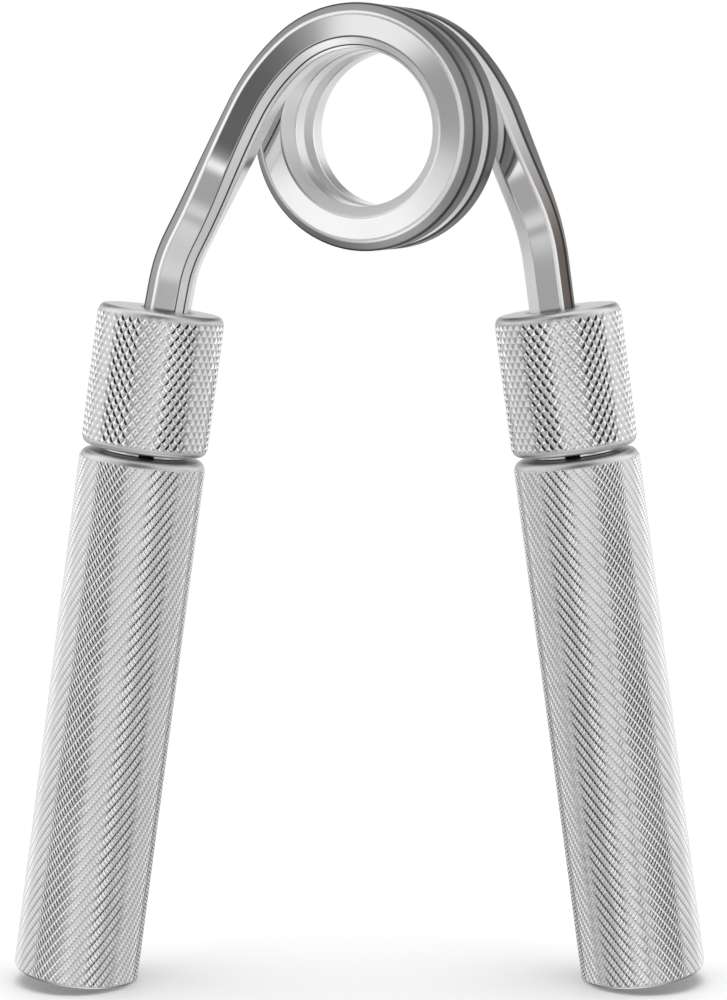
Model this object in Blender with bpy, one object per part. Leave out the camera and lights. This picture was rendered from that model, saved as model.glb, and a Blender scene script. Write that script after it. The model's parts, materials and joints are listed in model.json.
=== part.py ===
"""Hand grip strengthener: a chamfered torsion spring whose two legs end in knurled metal handles.

The spring is one wire. It is built as the coil and two legs, so that each leg can turn with its handle
about the coil's centre. Each handle is a collar on the leg, a core screwed into the collar, and a grip
sleeve that turns on the core on two bushes, held by a split ring above and a screw and washer below.

Lengths are in millimetres until they reach a mesh or a location, which are in metres.
+X is to the right, +Y to the back, +Z up, and the origin is on the floor under the middle of the handles.
Along a handle, "depth" is the distance down from the collar's top face.
"""

import math

import bmesh
import bpy
from mathutils import Matrix, Vector

MM = 0.001

# Spring wire: a square bar with chamfered corners.
WIRE = 7.9
WIRE_FLAT = 4.0

# Spring coil. Angles run anticlockwise from the right, as the front shows them.
COIL_RADIUS = 17.6
COIL_PITCH = 8.2
COIL_SKEW = 21.5
COIL_OFFSET = 2.9
COIL_START = 131.0
COIL_END = 43.0 - 720.0
COIL_STEP = 5.5

# Spring legs, from the coil down: (length, slope from vertical at its end) for the run out of the coil,
# the straight and the knee. A straight end follows, down to LEG_DEPTH below the top of the collar.
# A leg leaves in the coil's plane, and after LEG_LEAD eases into the plane of the handles.
# Its flats face the front but for its face turn.
LEG_LEAD = 15.0
LEFT_LEG = ((13.0, 27.0), (25.8, 27.0), (8.0, 11.0))
RIGHT_LEG = ((13.0, 21.3), (14.7, 21.3), (11.5, 7.92))
LEG_DEPTH = 20.2
LEFT_FACE_TURN = 6.0
RIGHT_FACE_TURN = 8.5
FACE_TURN_LENGTH = 22.0
LEG_STEP = 1.7

# Handles.
HANDLE_TILT = 7.92
HANDLE_TOP_X = 35.2
HANDLE_TOP_DROP = 32.05
HANDLE_LENGTH = 122.6
HANDLE_RADIUS = 11.35

# Collar.
COLLAR_LENGTH = 25.35
COLLAR_TOP_ROUND = 1.3
COLLAR_FOOT_ROUND = 1.2
LEG_HOLE_RADIUS = 4.8
LEG_HOLE_ROOM = 1.0
RING_RECESS_RADIUS = 7.85

# Grip sleeve.
SLEEVE_TOP = 26.2
SLEEVE_TOP_ROUND = 1.5
SLEEVE_FOOT_ROUND = 0.65
SLEEVE_MOUTH_RADIUS = 6.5
SLEEVE_MOUTH_LENGTH = 2.8
SLEEVE_BORE_RADIUS = 8.3
CAP_SEAT_RADIUS = 9.5
CAP_SEAT_LENGTH = 2.7

# Core, bushes and their fasteners.
CORE_RADIUS = 6.0
CORE_TOP = 21.0
CORE_FOOT = 113.0
CORE_CHAMFER = 0.6
GROOVE_RADIUS = 5.2
RING_RADIUS = 7.35
RING_TOP = 24.5
RING_THICKNESS = 1.6
RING_GAP = 21.6
RING_GAP_TURN = 8.0
BUSH_LENGTH = 14.0
BUSH_RADIUS = 8.0
WASHER_RADIUS = 7.6
WASHER_THICKNESS = 1.2
SCREW_RADIUS = 2.5
SCREW_LENGTH = 14.0
SCREW_POINT = 0.5
TAP_RUNOUT = 1.5
SCREW_HEAD_RADIUS = 4.6
SCREW_HEAD_LENGTH = 2.6
SCREW_HEAD_RIM = 0.8
HEX_SOCKET = 3.0
HEX_SOCKET_DEPTH = 1.5
CAP_SPIGOT_LENGTH = 2.0
CAP_CHAMFER = 0.3

CLEARANCE = 0.3
OUTER_SIDES = 48
INNER_SIDES = 32
SIDES = {"left": -1, "right": 1}

RIM_CORNER = HANDLE_RADIUS - SLEEVE_FOOT_ROUND
COIL_HEIGHT = (
    HANDLE_TOP_DROP
    + (HANDLE_LENGTH - SLEEVE_FOOT_ROUND) * math.cos(math.radians(HANDLE_TILT))
    + RIM_CORNER * math.sin(math.radians(HANDLE_TILT))
    + SLEEVE_FOOT_ROUND
)
COIL_CENTRE = Vector((COIL_OFFSET, 0.0, COIL_HEIGHT))

STEEL = ("spring_steel", (0.62, 0.62, 0.63), 0.12, 1.0)
ALUMINIUM = ("knurled_aluminium", (0.80, 0.80, 0.80), 0.30, 1.0)
BLACKED_STEEL = ("blacked_steel", (0.05, 0.05, 0.055), 0.45, 1.0)
RING_STEEL = ("ring_steel", (0.75, 0.75, 0.76), 0.10, 1.0)
BRONZE = ("bush_bronze", (0.55, 0.38, 0.20), 0.40, 1.0)


def clear_scene():
    for obj in list(bpy.data.objects):
        bpy.data.objects.remove(obj, do_unlink=True)


def material(name, colour, roughness, metallic):
    found = bpy.data.materials.get(name)
    if found:
        return found
    made = bpy.data.materials.new(name)
    made.use_nodes = True
    shader = made.node_tree.nodes["Principled BSDF"]
    shader.inputs["Base Color"].default_value = (*colour, 1.0)
    shader.inputs["Roughness"].default_value = roughness
    shader.inputs["Metallic"].default_value = metallic
    made.diffuse_color = (*colour, 1.0)
    return made


def add_object(name, bm, finish, parent=None):
    """Makes one named part from bm, whose points are in millimetres."""
    bmesh.ops.recalc_face_normals(bm, faces=bm.faces)
    bmesh.ops.scale(bm, vec=(MM, MM, MM), verts=bm.verts)
    mesh = bpy.data.meshes.new(name)
    bm.to_mesh(mesh)
    bm.free()
    mesh.shade_smooth()
    mesh.set_sharp_from_angle(angle=math.radians(30))
    mesh.materials.append(material(*finish))
    obj = bpy.data.objects.new(name, mesh)
    bpy.context.scene.collection.objects.link(obj)
    obj.parent = parent
    return obj


def add_empty(name, place, turn=0.0, parent=None):
    """An axis that parts hang on, at place in millimetres, turned about Y by turn degrees."""
    empty = bpy.data.objects.new(name, None)
    empty.empty_display_size = 0.02
    empty.location = place * MM
    empty.rotation_euler = (0.0, math.radians(turn), 0.0)
    empty.parent = parent
    bpy.context.scene.collection.objects.link(empty)
    return empty


# ---------------------------------------------------------------- spring


def ease(t):
    t = min(max(t, 0.0), 1.0)
    return t * t * (3.0 - 2.0 * t)


def coil_axis():
    turn = math.radians(COIL_SKEW)
    return Vector((math.sin(turn), math.cos(turn), 0.0))


def coil_point(angle):
    """The wire's centre at this angle. The coil runs clockwise from the left leg, front to back."""
    axis = coil_axis()
    across = Vector((axis.y, -axis.x, 0.0))
    turned = (COIL_START + COIL_END) / 2 - angle
    along = COIL_PITCH * turned / 360.0
    theta = math.radians(angle)
    outward = across * math.cos(theta) + Vector((0.0, 0.0, 1.0)) * math.sin(theta)
    return COIL_CENTRE + axis * along + outward * COIL_RADIUS


def coil_heading(angle):
    """The wire's direction at this angle, towards the right leg."""
    return (coil_point(angle - 0.1) - coil_point(angle + 0.1)).normalized()


def coil_points():
    steps = round((COIL_START - COIL_END) / COIL_STEP)
    span = COIL_END - COIL_START
    return [coil_point(COIL_START + span * i / steps) for i in range(steps + 1)]


def leg_points(end_angle, side, segments):
    """The leg's centre line from the coil's end down, easing into the plane of the handles."""
    start = coil_point(end_angle)
    heading = coil_heading(end_angle) * side
    slope = math.degrees(math.atan2(abs(heading.x), -heading.z))
    skew = math.radians(COIL_SKEW)
    advance = side * COIL_PITCH / (math.tau * COIL_RADIUS * math.cos(skew))
    reach = sum(length for length, _ in segments)
    foot = COIL_HEIGHT - HANDLE_TOP_DROP - LEG_DEPTH * math.cos(math.radians(HANDLE_TILT))
    points = [start]
    x, z, travelled = start.x, start.z, 0.0
    for length, end_slope in (*segments, (None, segments[-1][1])):
        length = length or (z - foot) / math.cos(math.radians(end_slope))
        steps = max(2, round(length / LEG_STEP))
        step = length / steps
        for i in range(steps):
            now = math.radians(slope + (end_slope - slope) * (i + 0.5) / steps)
            x += side * math.sin(now) * step
            z -= math.cos(now) * step
            travelled += step
            in_coil_plane = start.y - (x - start.x) * math.tan(skew) + advance * travelled
            into_handle_plane = ease((travelled - LEG_LEAD) / (reach - LEG_LEAD))
            points.append(Vector((x, in_coil_plane * (1 - into_handle_plane), z)))
        slope = end_slope
    return points


def octagon():
    """The wire's section as (outward, backward) corners."""
    half, flat = WIRE / 2, WIRE_FLAT / 2
    quarter = [(half, -flat), (half, flat)]
    corners = []
    for turn in range(4):
        c, s = round(math.cos(turn * math.pi / 2)), round(math.sin(turn * math.pi / 2))
        corners += [(u * c - w * s, u * s + w * c) for u, w in quarter]
    return corners


def wire(name, points, face_turns, start_heading=None, end_heading=None):
    """A solid of the wire's section along points, which run from the left leg to the right leg.

    An end whose heading is given is a cut through the wire, and keeps half of the clearance to it.
    """
    points = [point.copy() for point in points]
    tangents = []
    for i in range(len(points)):
        before, after = points[max(i - 1, 0)], points[min(i + 1, len(points) - 1)]
        tangents.append((after - before).normalized())
    if start_heading:
        tangents[0] = start_heading
        points[0] += start_heading * CLEARANCE / 2
    if end_heading:
        tangents[-1] = end_heading
        points[-1] -= end_heading * CLEARANCE / 2
    bm = bmesh.new()
    loops = []
    for point, tangent, face_turn in zip(points, tangents, face_turns):
        turn = math.radians(face_turn)
        back = Vector((math.sin(turn), math.cos(turn), 0.0))
        back = (back - tangent * back.dot(tangent)).normalized()
        outward = tangent.cross(back)
        ring = [bm.verts.new(point + outward * u + back * w) for u, w in octagon()]
        loops.append([bm.edges.new((ring[i], ring[i - 1])) for i in range(len(ring))])
    for first, second in zip(loops, loops[1:]):
        bmesh.ops.bridge_loops(bm, edges=first + second)
    for end in (loops[0], loops[-1]):
        bmesh.ops.edgeloop_fill(bm, edges=end)
    return add_object(name, bm, STEEL)


def leg_face_turns(points, face_turn):
    """Turns a leg's flats from the coil's skew to face_turn once it is past the coil."""
    turns = []
    for point in points:
        t = ease(((point - points[0]).length - LEG_LEAD) / FACE_TURN_LENGTH)
        turns.append(COIL_SKEW + (face_turn - COIL_SKEW) * t)
    return turns


def build_spring():
    coil = coil_points()
    front_cut, back_cut = coil_heading(COIL_START), coil_heading(COIL_END)
    wire("spring_coil", coil, [COIL_SKEW] * len(coil), front_cut, back_cut)
    left = leg_points(COIL_START, -1, LEFT_LEG)
    left_turns = leg_face_turns(left, LEFT_FACE_TURN)
    wire("spring_leg_left", left[::-1], left_turns[::-1], end_heading=front_cut)
    right = leg_points(COIL_END, 1, RIGHT_LEG)
    wire("spring_leg_right", right, leg_face_turns(right, RIGHT_FACE_TURN), start_heading=back_cut)
    return {"left": left, "right": right}


# ---------------------------------------------------------------- turned pieces


def arc(radius, depth, size, start, end, steps=3):
    """Points (radius, depth) on a rounded corner of this size, from start to end in degrees."""
    points = []
    for i in range(steps + 1):
        theta = math.radians(start + (end - start) * i / steps)
        points.append((radius + size * math.cos(theta), depth + size * math.sin(theta)))
    return points


def turned(profile, sides, gap=0.0, gap_turn=0.0):
    """A turned solid from a closed (radius, depth) profile. A gap in degrees leaves it open there."""
    bm = bmesh.new()
    verts = [bm.verts.new((radius, 0.0, -depth)) for radius, depth in profile]
    face = bm.faces.new(verts)
    if gap:
        bmesh.ops.rotate(bm, verts=verts, matrix=Matrix.Rotation(math.radians(gap_turn + gap / 2), 3, "Z"))
        geom = verts + list(face.edges) + [face]
    else:
        geom = verts + list(face.edges)
        bmesh.ops.delete(bm, geom=[face], context="FACES_ONLY")
    bmesh.ops.spin(
        bm,
        geom=geom,
        cent=(0.0, 0.0, 0.0),
        axis=(0.0, 0.0, 1.0),
        angle=math.radians(360.0 - gap),
        steps=sides,
        use_merge=not gap,
    )
    bmesh.ops.remove_doubles(bm, verts=bm.verts, dist=0.0001)
    return bm


def tube_profile(inner, outer, top, foot):
    return [(inner, top), (outer, top), (outer, foot), (inner, foot)]


def collar(side_name, parent, leg):
    """Knurled collar, bored from the top for the spring leg and from the foot for the core and ring."""
    bore = CORE_RADIUS + CLEARANCE
    recess_top = RING_TOP - CLEARANCE
    round_top, round_foot = COLLAR_TOP_ROUND, COLLAR_FOOT_ROUND
    profile = [(0.0, 0.0)]
    profile += arc(HANDLE_RADIUS - round_top, round_top, round_top, -90, 0)
    profile += arc(HANDLE_RADIUS - round_foot, COLLAR_LENGTH - round_foot, round_foot, 0, 90)
    profile += [(RING_RECESS_RADIUS, COLLAR_LENGTH), (RING_RECESS_RADIUS, recess_top), (bore, recess_top)]
    profile += [(bore, CORE_TOP - CLEARANCE), (0.0, CORE_TOP - CLEARANCE)]
    obj = add_object(f"collar_{side_name}", turned(profile, OUTER_SIDES), ALUMINIUM, parent)

    direction = (leg[-1] - leg[-2]).normalized()
    foot = leg[-1] + direction * LEG_HOLE_ROOM
    top = leg[-1] - direction * LEG_DEPTH * 1.3
    bm = bmesh.new()
    turn = Vector((0.0, 0.0, 1.0)).rotation_difference(direction).to_matrix().to_4x4()
    bmesh.ops.create_cone(
        bm,
        cap_ends=True,
        segments=INNER_SIDES,
        radius1=LEG_HOLE_RADIUS,
        radius2=LEG_HOLE_RADIUS,
        depth=(foot - top).length,
        matrix=Matrix.Translation((top + foot) / 2) @ turn,
    )
    cutter = add_object(f"leg_hole_{side_name}", bm, ALUMINIUM)
    cutter.hide_render = True
    cutter.display_type = "WIRE"
    cut = obj.modifiers.new("leg_hole", "BOOLEAN")
    cut.operation = "DIFFERENCE"
    cut.object = cutter


def core(side_name, parent):
    """Core: fits the collar, has the ring's groove, and is tapped at its foot for the screw."""
    groove_top = RING_TOP - CLEARANCE
    groove_foot = RING_TOP + RING_THICKNESS + CLEARANCE
    tapped = SCREW_RADIUS + CLEARANCE
    profile = [(0.0, CORE_TOP), (CORE_RADIUS - CORE_CHAMFER, CORE_TOP)]
    profile += [(CORE_RADIUS, CORE_TOP + CORE_CHAMFER)]
    profile += [(CORE_RADIUS, groove_top), (GROOVE_RADIUS, groove_top)]
    profile += [(GROOVE_RADIUS, groove_foot), (CORE_RADIUS, groove_foot)]
    profile += [(CORE_RADIUS, CORE_FOOT), (tapped, CORE_FOOT)]
    hole_end = CORE_FOOT - SCREW_LENGTH
    drill_point = tapped * math.tan(math.radians(31))
    profile += [(tapped, hole_end), (0.0, hole_end - drill_point)]
    add_object(f"core_{side_name}", turned(profile, INNER_SIDES), BLACKED_STEEL, parent)


def retaining_ring(side_name, parent, side):
    """Split ring in the core's groove. Its opening faces the front, turned a little inwards."""
    inner = GROOVE_RADIUS + CLEARANCE
    profile = tube_profile(inner, RING_RADIUS, RING_TOP, RING_TOP + RING_THICKNESS)
    opening = -90.0 - side * RING_GAP_TURN
    bm = turned(profile, OUTER_SIDES, RING_GAP, opening)
    add_object(f"retaining_ring_{side_name}", bm, RING_STEEL, parent)


def grip_sleeve(side_name, parent):
    """Knurled grip sleeve, with a narrow mouth at the top and a seat for the end cap at the foot."""
    round_top, round_foot = SLEEVE_TOP_ROUND, SLEEVE_FOOT_ROUND
    shoulder = SLEEVE_TOP + SLEEVE_MOUTH_LENGTH
    seat = HANDLE_LENGTH - CAP_SEAT_LENGTH - CLEARANCE
    profile = [(SLEEVE_MOUTH_RADIUS, SLEEVE_TOP)]
    profile += arc(HANDLE_RADIUS - round_top, SLEEVE_TOP + round_top, round_top, -90, 0, 4)
    profile += arc(RIM_CORNER, HANDLE_LENGTH - round_foot, round_foot, 0, 90)
    profile += [(CAP_SEAT_RADIUS, HANDLE_LENGTH), (CAP_SEAT_RADIUS, seat)]
    profile += [(SLEEVE_BORE_RADIUS, seat), (SLEEVE_BORE_RADIUS, shoulder), (SLEEVE_MOUTH_RADIUS, shoulder)]
    add_object(f"grip_sleeve_{side_name}", turned(profile, OUTER_SIDES), ALUMINIUM, parent)


def bush(name, parent, top):
    inner = CORE_RADIUS + CLEARANCE
    profile = tube_profile(inner, BUSH_RADIUS, top, top + BUSH_LENGTH)
    add_object(name, turned(profile, INNER_SIDES), BRONZE, parent)


def thrust_washer(side_name, parent):
    top = CORE_FOOT + CLEARANCE
    profile = tube_profile(SCREW_RADIUS + CLEARANCE, WASHER_RADIUS, top, top + WASHER_THICKNESS)
    add_object(f"thrust_washer_{side_name}", turned(profile, INNER_SIDES), RING_STEEL, parent)


def retaining_screw(side_name, parent):
    """Button-head screw with a hexagon socket, up into the core's foot."""
    head_top = CORE_FOOT + WASHER_THICKNESS + 2 * CLEARANCE
    head_foot = head_top + SCREW_HEAD_LENGTH
    tip = CORE_FOOT - SCREW_LENGTH + TAP_RUNOUT
    profile = [(0.0, tip), (SCREW_RADIUS - SCREW_POINT, tip), (SCREW_RADIUS, tip + SCREW_POINT)]
    profile += [(SCREW_RADIUS, head_top), (SCREW_HEAD_RADIUS, head_top)]
    profile += [(SCREW_HEAD_RADIUS, head_top + SCREW_HEAD_RIM)]
    profile += [(SCREW_HEAD_RADIUS * 0.9, head_foot - 0.7), (SCREW_HEAD_RADIUS * 0.7, head_foot)]
    profile += [(0.0, head_foot)]
    obj = add_object(f"retaining_screw_{side_name}", turned(profile, INNER_SIDES), BLACKED_STEEL, parent)
    bm = bmesh.new()
    bmesh.ops.create_cone(
        bm,
        cap_ends=True,
        segments=6,
        radius1=HEX_SOCKET / math.sqrt(3),
        radius2=HEX_SOCKET / math.sqrt(3),
        depth=2 * HEX_SOCKET_DEPTH,
        matrix=Matrix.Translation((0.0, 0.0, -head_foot)),
    )
    socket = add_object(f"hex_socket_{side_name}", bm, BLACKED_STEEL, parent)
    socket.hide_render = True
    socket.display_type = "WIRE"
    cut = obj.modifiers.new("hex_socket", "BOOLEAN")
    cut.operation = "DIFFERENCE"
    cut.object = socket


def end_cap(side_name, parent):
    """End cap: a flange flush with the sleeve's foot and a spigot in its bore."""
    flange_top = HANDLE_LENGTH - CAP_SEAT_LENGTH
    flange = CAP_SEAT_RADIUS - CLEARANCE
    spigot = SLEEVE_BORE_RADIUS - CLEARANCE
    profile = [(0.0, flange_top - CAP_SPIGOT_LENGTH), (spigot, flange_top - CAP_SPIGOT_LENGTH)]
    profile += [(spigot, flange_top), (flange, flange_top), (flange, HANDLE_LENGTH - CAP_CHAMFER)]
    profile += [(flange - CAP_CHAMFER, HANDLE_LENGTH), (0.0, HANDLE_LENGTH)]
    add_object(f"end_cap_{side_name}", turned(profile, INNER_SIDES), ALUMINIUM, parent)


def build_handle(side_name, side, leg):
    squeeze_axis = add_empty(f"squeeze_axis_{side_name}", COIL_CENTRE)
    top = Vector((side * HANDLE_TOP_X - COIL_OFFSET, 0.0, -HANDLE_TOP_DROP))
    spin_axis = add_empty(f"spin_axis_{side_name}", top, -side * HANDLE_TILT, squeeze_axis)
    collar(side_name, spin_axis, leg)
    core(side_name, spin_axis)
    retaining_ring(side_name, spin_axis, side)
    thrust_washer(side_name, spin_axis)
    retaining_screw(side_name, spin_axis)
    grip_sleeve(side_name, spin_axis)
    shoulder = SLEEVE_TOP + SLEEVE_MOUTH_LENGTH
    bush(f"upper_bush_{side_name}", spin_axis, shoulder + CLEARANCE)
    bush(f"lower_bush_{side_name}", spin_axis, CORE_FOOT - CLEARANCE - BUSH_LENGTH)
    end_cap(side_name, spin_axis)


def main():
    clear_scene()
    legs = build_spring()
    for side_name, side in SIDES.items():
        build_handle(side_name, side, legs[side_name])


main()
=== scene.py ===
import json
import math

import bmesh
import bpy
from mathutils import Matrix, Vector


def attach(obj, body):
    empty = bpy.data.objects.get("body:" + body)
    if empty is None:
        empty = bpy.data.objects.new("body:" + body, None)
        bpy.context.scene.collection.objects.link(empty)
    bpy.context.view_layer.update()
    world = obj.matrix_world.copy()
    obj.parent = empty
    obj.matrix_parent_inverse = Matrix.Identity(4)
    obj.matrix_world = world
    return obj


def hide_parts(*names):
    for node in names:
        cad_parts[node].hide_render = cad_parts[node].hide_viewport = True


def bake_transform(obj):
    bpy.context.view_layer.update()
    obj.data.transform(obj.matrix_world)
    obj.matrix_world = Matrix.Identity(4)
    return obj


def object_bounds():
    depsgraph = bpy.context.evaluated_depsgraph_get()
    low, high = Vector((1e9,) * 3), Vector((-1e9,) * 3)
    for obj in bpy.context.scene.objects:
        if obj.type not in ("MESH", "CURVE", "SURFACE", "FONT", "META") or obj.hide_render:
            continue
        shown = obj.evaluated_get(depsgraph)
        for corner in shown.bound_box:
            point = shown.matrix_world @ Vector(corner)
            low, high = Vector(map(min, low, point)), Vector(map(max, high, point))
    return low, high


# The looks of the hand grip strengthener. Lengths are in millimetres until they reach a mesh or a location.
# "Depth" is the distance down a handle from its collar's top face, as in the CAD model.

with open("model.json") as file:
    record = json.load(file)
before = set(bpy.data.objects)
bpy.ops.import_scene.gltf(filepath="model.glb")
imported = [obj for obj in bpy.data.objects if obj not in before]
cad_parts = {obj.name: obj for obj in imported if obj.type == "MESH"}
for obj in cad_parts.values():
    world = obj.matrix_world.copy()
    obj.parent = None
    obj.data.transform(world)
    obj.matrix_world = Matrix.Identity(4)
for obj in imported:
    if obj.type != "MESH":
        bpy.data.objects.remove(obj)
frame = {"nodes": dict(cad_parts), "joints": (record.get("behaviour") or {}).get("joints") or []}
cad_low, cad_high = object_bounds()
JOINTS = {joint["name"]: joint for joint in frame["joints"]}

MM = 0.001
SIDES = {"left": -1, "right": 1}

# Spring wire: a square bar with chamfered corners, whose edges are rounded.
WIRE = 7.9
WIRE_FLAT = 4.0
WIRE_EDGE_ROUND = 0.7
WIRE_EDGE_STEPS = 6

# Spring coil. Angles run anticlockwise from the right, as the front shows them.
COIL_CENTRE = Vector(JOINTS["squeeze_left"]["pos_m"]) / MM
COIL_RADIUS = 17.6
COIL_PITCH = 8.2
COIL_SKEW = 21.5
COIL_START = 131.0
COIL_END = 43.0 - 720.0
COIL_STEP = 3.0
HEADING_STEP = 0.1

# Spring legs, from the coil down: (length, slope from vertical at its end), then a straight end.
LEFT_LEG = ((13.0, 27.0), (25.8, 27.0), (8.0, 11.0))
RIGHT_LEG = ((13.0, 21.3), (14.7, 21.3), (11.5, 7.92))
LEG_STEP = 1.0
# How far below the coil a leg starts to leave the coil's plane, and how deep in its handle it ends.
LEG_LEAD = 15.0
LEG_DEPTH = 20.2
# The turn of each leg's flats about the vertical where it meets its handle, and the length it takes.
LEFT_FACE_TURN = 6.0
RIGHT_FACE_TURN = 8.5
FACE_TURN_LENGTH = 22.0
# Lengths along the wire place its draw marks and its painted light and shade. They count from 0 at the left
# leg's foot, and from this where the back half starts.
BACK_HALF_FROM = 180.0

# Handles.
HANDLE_TOP = {name: Vector(JOINTS[f"grip_spin_{name}"]["pos_m"]) / MM for name in SIDES}
HANDLE_UP = {name: Vector(JOINTS[f"grip_spin_{name}"]["axis"]) for name in SIDES}
HANDLE_LENGTH = 122.6
HANDLE_RADIUS = 11.35
COLLAR_LENGTH = 25.35
COLLAR_TOP_ROUND = 1.3
COLLAR_FOOT_ROUND = 1.2
COLLAR_TOP_FLAT = 0.4
COLLAR_BORE_RADIUS = 6.3
COLLAR_BORE_TOP = 20.7
RING_RECESS_RADIUS = 7.85
RING_RECESS_TOP = 24.2
LEG_HOLE_RADIUS = 4.8
LEG_HOLE_ROOM = 1.0
LEG_HOLE_CHAMFER = 0.2
SLEEVE_TOP = 26.2
SLEEVE_TOP_ROUND = 1.5
SLEEVE_FOOT_ROUND = 0.65
SLEEVE_MOUTH_RADIUS = 6.5
SLEEVE_MOUTH_LENGTH = 2.8
SLEEVE_BORE_RADIUS = 8.3
RING_BORE_RADIUS = 5.5
RING_RADIUS = 7.35
RING_TOP = 24.5
RING_THICKNESS = 1.6
RING_CHAMFER = 0.12
RING_GAP = 21.6
RING_GAP_TURN = 8.0
CAP_SEAT_RADIUS = 9.5
CAP_SEAT_LENGTH = 2.7
CAP_SPIGOT_LENGTH = 2.0
CAP_CHAMFER = 0.3
CAP_MARK_RADIUS = 0.9
CAP_MARK_DEPTH = 0.45
CLEARANCE = 0.3
EDGE_BREAK = 0.15
ROUND_STEPS = 5
SLEEVE_TOP_ROUND_STEPS = 7
TURNED_SIDES = 96

# Knurling: two families of V grooves, which lean each way from the handle's axis. Each groove is given by
# half its width, and its walls fall by KNURL_FALL for each millimetre in from its edge.
KNURL_LEAN = 35.0
KNURL_STARTS = 45
KNURL_FALL = 0.7
COLLAR_GROOVE = 0.33
GRIP_COARSE_GROOVE = 0.245
GRIP_FINE_GROOVE = 0.18
KNURL_EDGE = 0.05
KNURL_OVERRUN = 1.0
SPARE_CELLS = 2

# Smooth ends of the knurled pieces: how far the knurl stops short of each end, how much is turned off there,
# and the length over which the knurl rises from it.
COLLAR_TOP_LAND = 1.45
COLLAR_FOOT_LAND = 1.25
SLEEVE_TOP_LAND = 1.4
SLEEVE_FOOT_LAND = 0.6
TURNED_OFF = 0.16
SHOULDER = 0.05
KNURL_END_CUTS = 4
KNURL_END_MARGIN = 2.0

# Edges sharper than this many degrees are shown sharp.
SHARP_ANGLE = 30
RING_SHARP_ANGLE = 40

# How near two points count as one, in millimetres.
SAME_POINT = 0.0001
CUT_TOLERANCE = 0.00001
RIM_TOLERANCE = 0.001


# ---------------------------------------------------------------- spring wire


def ease(t):
    t = min(max(t, 0.0), 1.0)
    return t * t * (3.0 - 2.0 * t)


def coil_axis():
    turn = math.radians(COIL_SKEW)
    return Vector((math.sin(turn), math.cos(turn), 0.0))


def coil_point(angle):
    """The wire's centre at this angle. The coil runs clockwise from the left leg, front to back."""
    axis = coil_axis()
    across = Vector((axis.y, -axis.x, 0.0))
    along = COIL_PITCH * ((COIL_START + COIL_END) / 2 - angle) / 360.0
    theta = math.radians(angle)
    outward = across * math.cos(theta) + Vector((0.0, 0.0, 1.0)) * math.sin(theta)
    return COIL_CENTRE + axis * along + outward * COIL_RADIUS


def coil_heading(angle):
    """The wire's direction at this angle, towards the right leg."""
    return (coil_point(angle - HEADING_STEP) - coil_point(angle + HEADING_STEP)).normalized()


def leg_points(end_angle, side, segments):
    """The leg's centre line from the coil's end down, easing into the plane of the handles."""
    start = coil_point(end_angle)
    heading = coil_heading(end_angle) * side
    slope = math.degrees(math.atan2(abs(heading.x), -heading.z))
    skew = math.radians(COIL_SKEW)
    advance = side * COIL_PITCH / (math.tau * COIL_RADIUS * math.cos(skew))
    reach = sum(length for length, _ in segments)
    foot = HANDLE_TOP["left"].z - LEG_DEPTH * HANDLE_UP["left"].z
    points = [start]
    x, z, travelled = start.x, start.z, 0.0
    for length, end_slope in (*segments, (None, segments[-1][1])):
        length = length or (z - foot) / math.cos(math.radians(end_slope))
        steps = max(2, round(length / LEG_STEP))
        step = length / steps
        for i in range(steps):
            now = math.radians(slope + (end_slope - slope) * (i + 0.5) / steps)
            x += side * math.sin(now) * step
            z -= math.cos(now) * step
            travelled += step
            in_coil_plane = start.y - (x - start.x) * math.tan(skew) + advance * travelled
            into_handle_plane = ease((travelled - LEG_LEAD) / (reach - LEG_LEAD))
            points.append(Vector((x, in_coil_plane * (1 - into_handle_plane), z)))
        slope = end_slope
    return points


def leg_face_turns(points, face_turn):
    """Turns a leg's flats from the coil's skew to face_turn once it is past the coil."""
    turns = []
    for point in points:
        t = ease(((point - points[0]).length - LEG_LEAD) / FACE_TURN_LENGTH)
        turns.append(COIL_SKEW + (face_turn - COIL_SKEW) * t)
    return turns


def wire_section():
    """The wire's section as (outward, backward, facing angle, inwardness): an octagon with rounded edges.

    Inwardness is the way round the section from the middle of the outer side, as a share of half the way
    round.
    """
    half, flat = WIRE / 2, WIRE_FLAT / 2
    chamfer = (half - flat) * math.sqrt(2)
    halfway = 2 * (flat + chamfer) + WIRE_FLAT
    corners = (flat, flat + chamfer, flat + chamfer + WIRE_FLAT, halfway - flat)
    trim = WIRE_EDGE_ROUND * math.tan(math.pi / 8)
    points = []
    for corner in range(8):
        first, second = math.radians(45 * corner), math.radians(45 * (corner + 1))
        u, w = (half, flat) if corner % 2 == 0 else (flat, half)
        turn = math.radians(90 * (corner // 2))
        corner_u, corner_w = u * math.cos(turn) - w * math.sin(turn), u * math.sin(turn) + w * math.cos(turn)
        reach = WIRE_EDGE_ROUND / (1 + math.cos(math.pi / 4))
        centre_u = corner_u - reach * (math.cos(first) + math.cos(second))
        centre_w = corner_w - reach * (math.sin(first) + math.sin(second))
        for step in range(WIRE_EDGE_STEPS + 1):
            share = step / WIRE_EDGE_STEPS
            facing = first + (second - first) * share
            if corner < 4:
                inward = corners[corner] + trim * (2 * share - 1)
            else:
                inward = corners[7 - corner] - trim * (2 * share - 1)
            points.append(
                (
                    centre_u + WIRE_EDGE_ROUND * math.cos(facing),
                    centre_w + WIRE_EDGE_ROUND * math.sin(facing),
                    facing,
                    inward / halfway,
                )
            )
    return points


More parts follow.
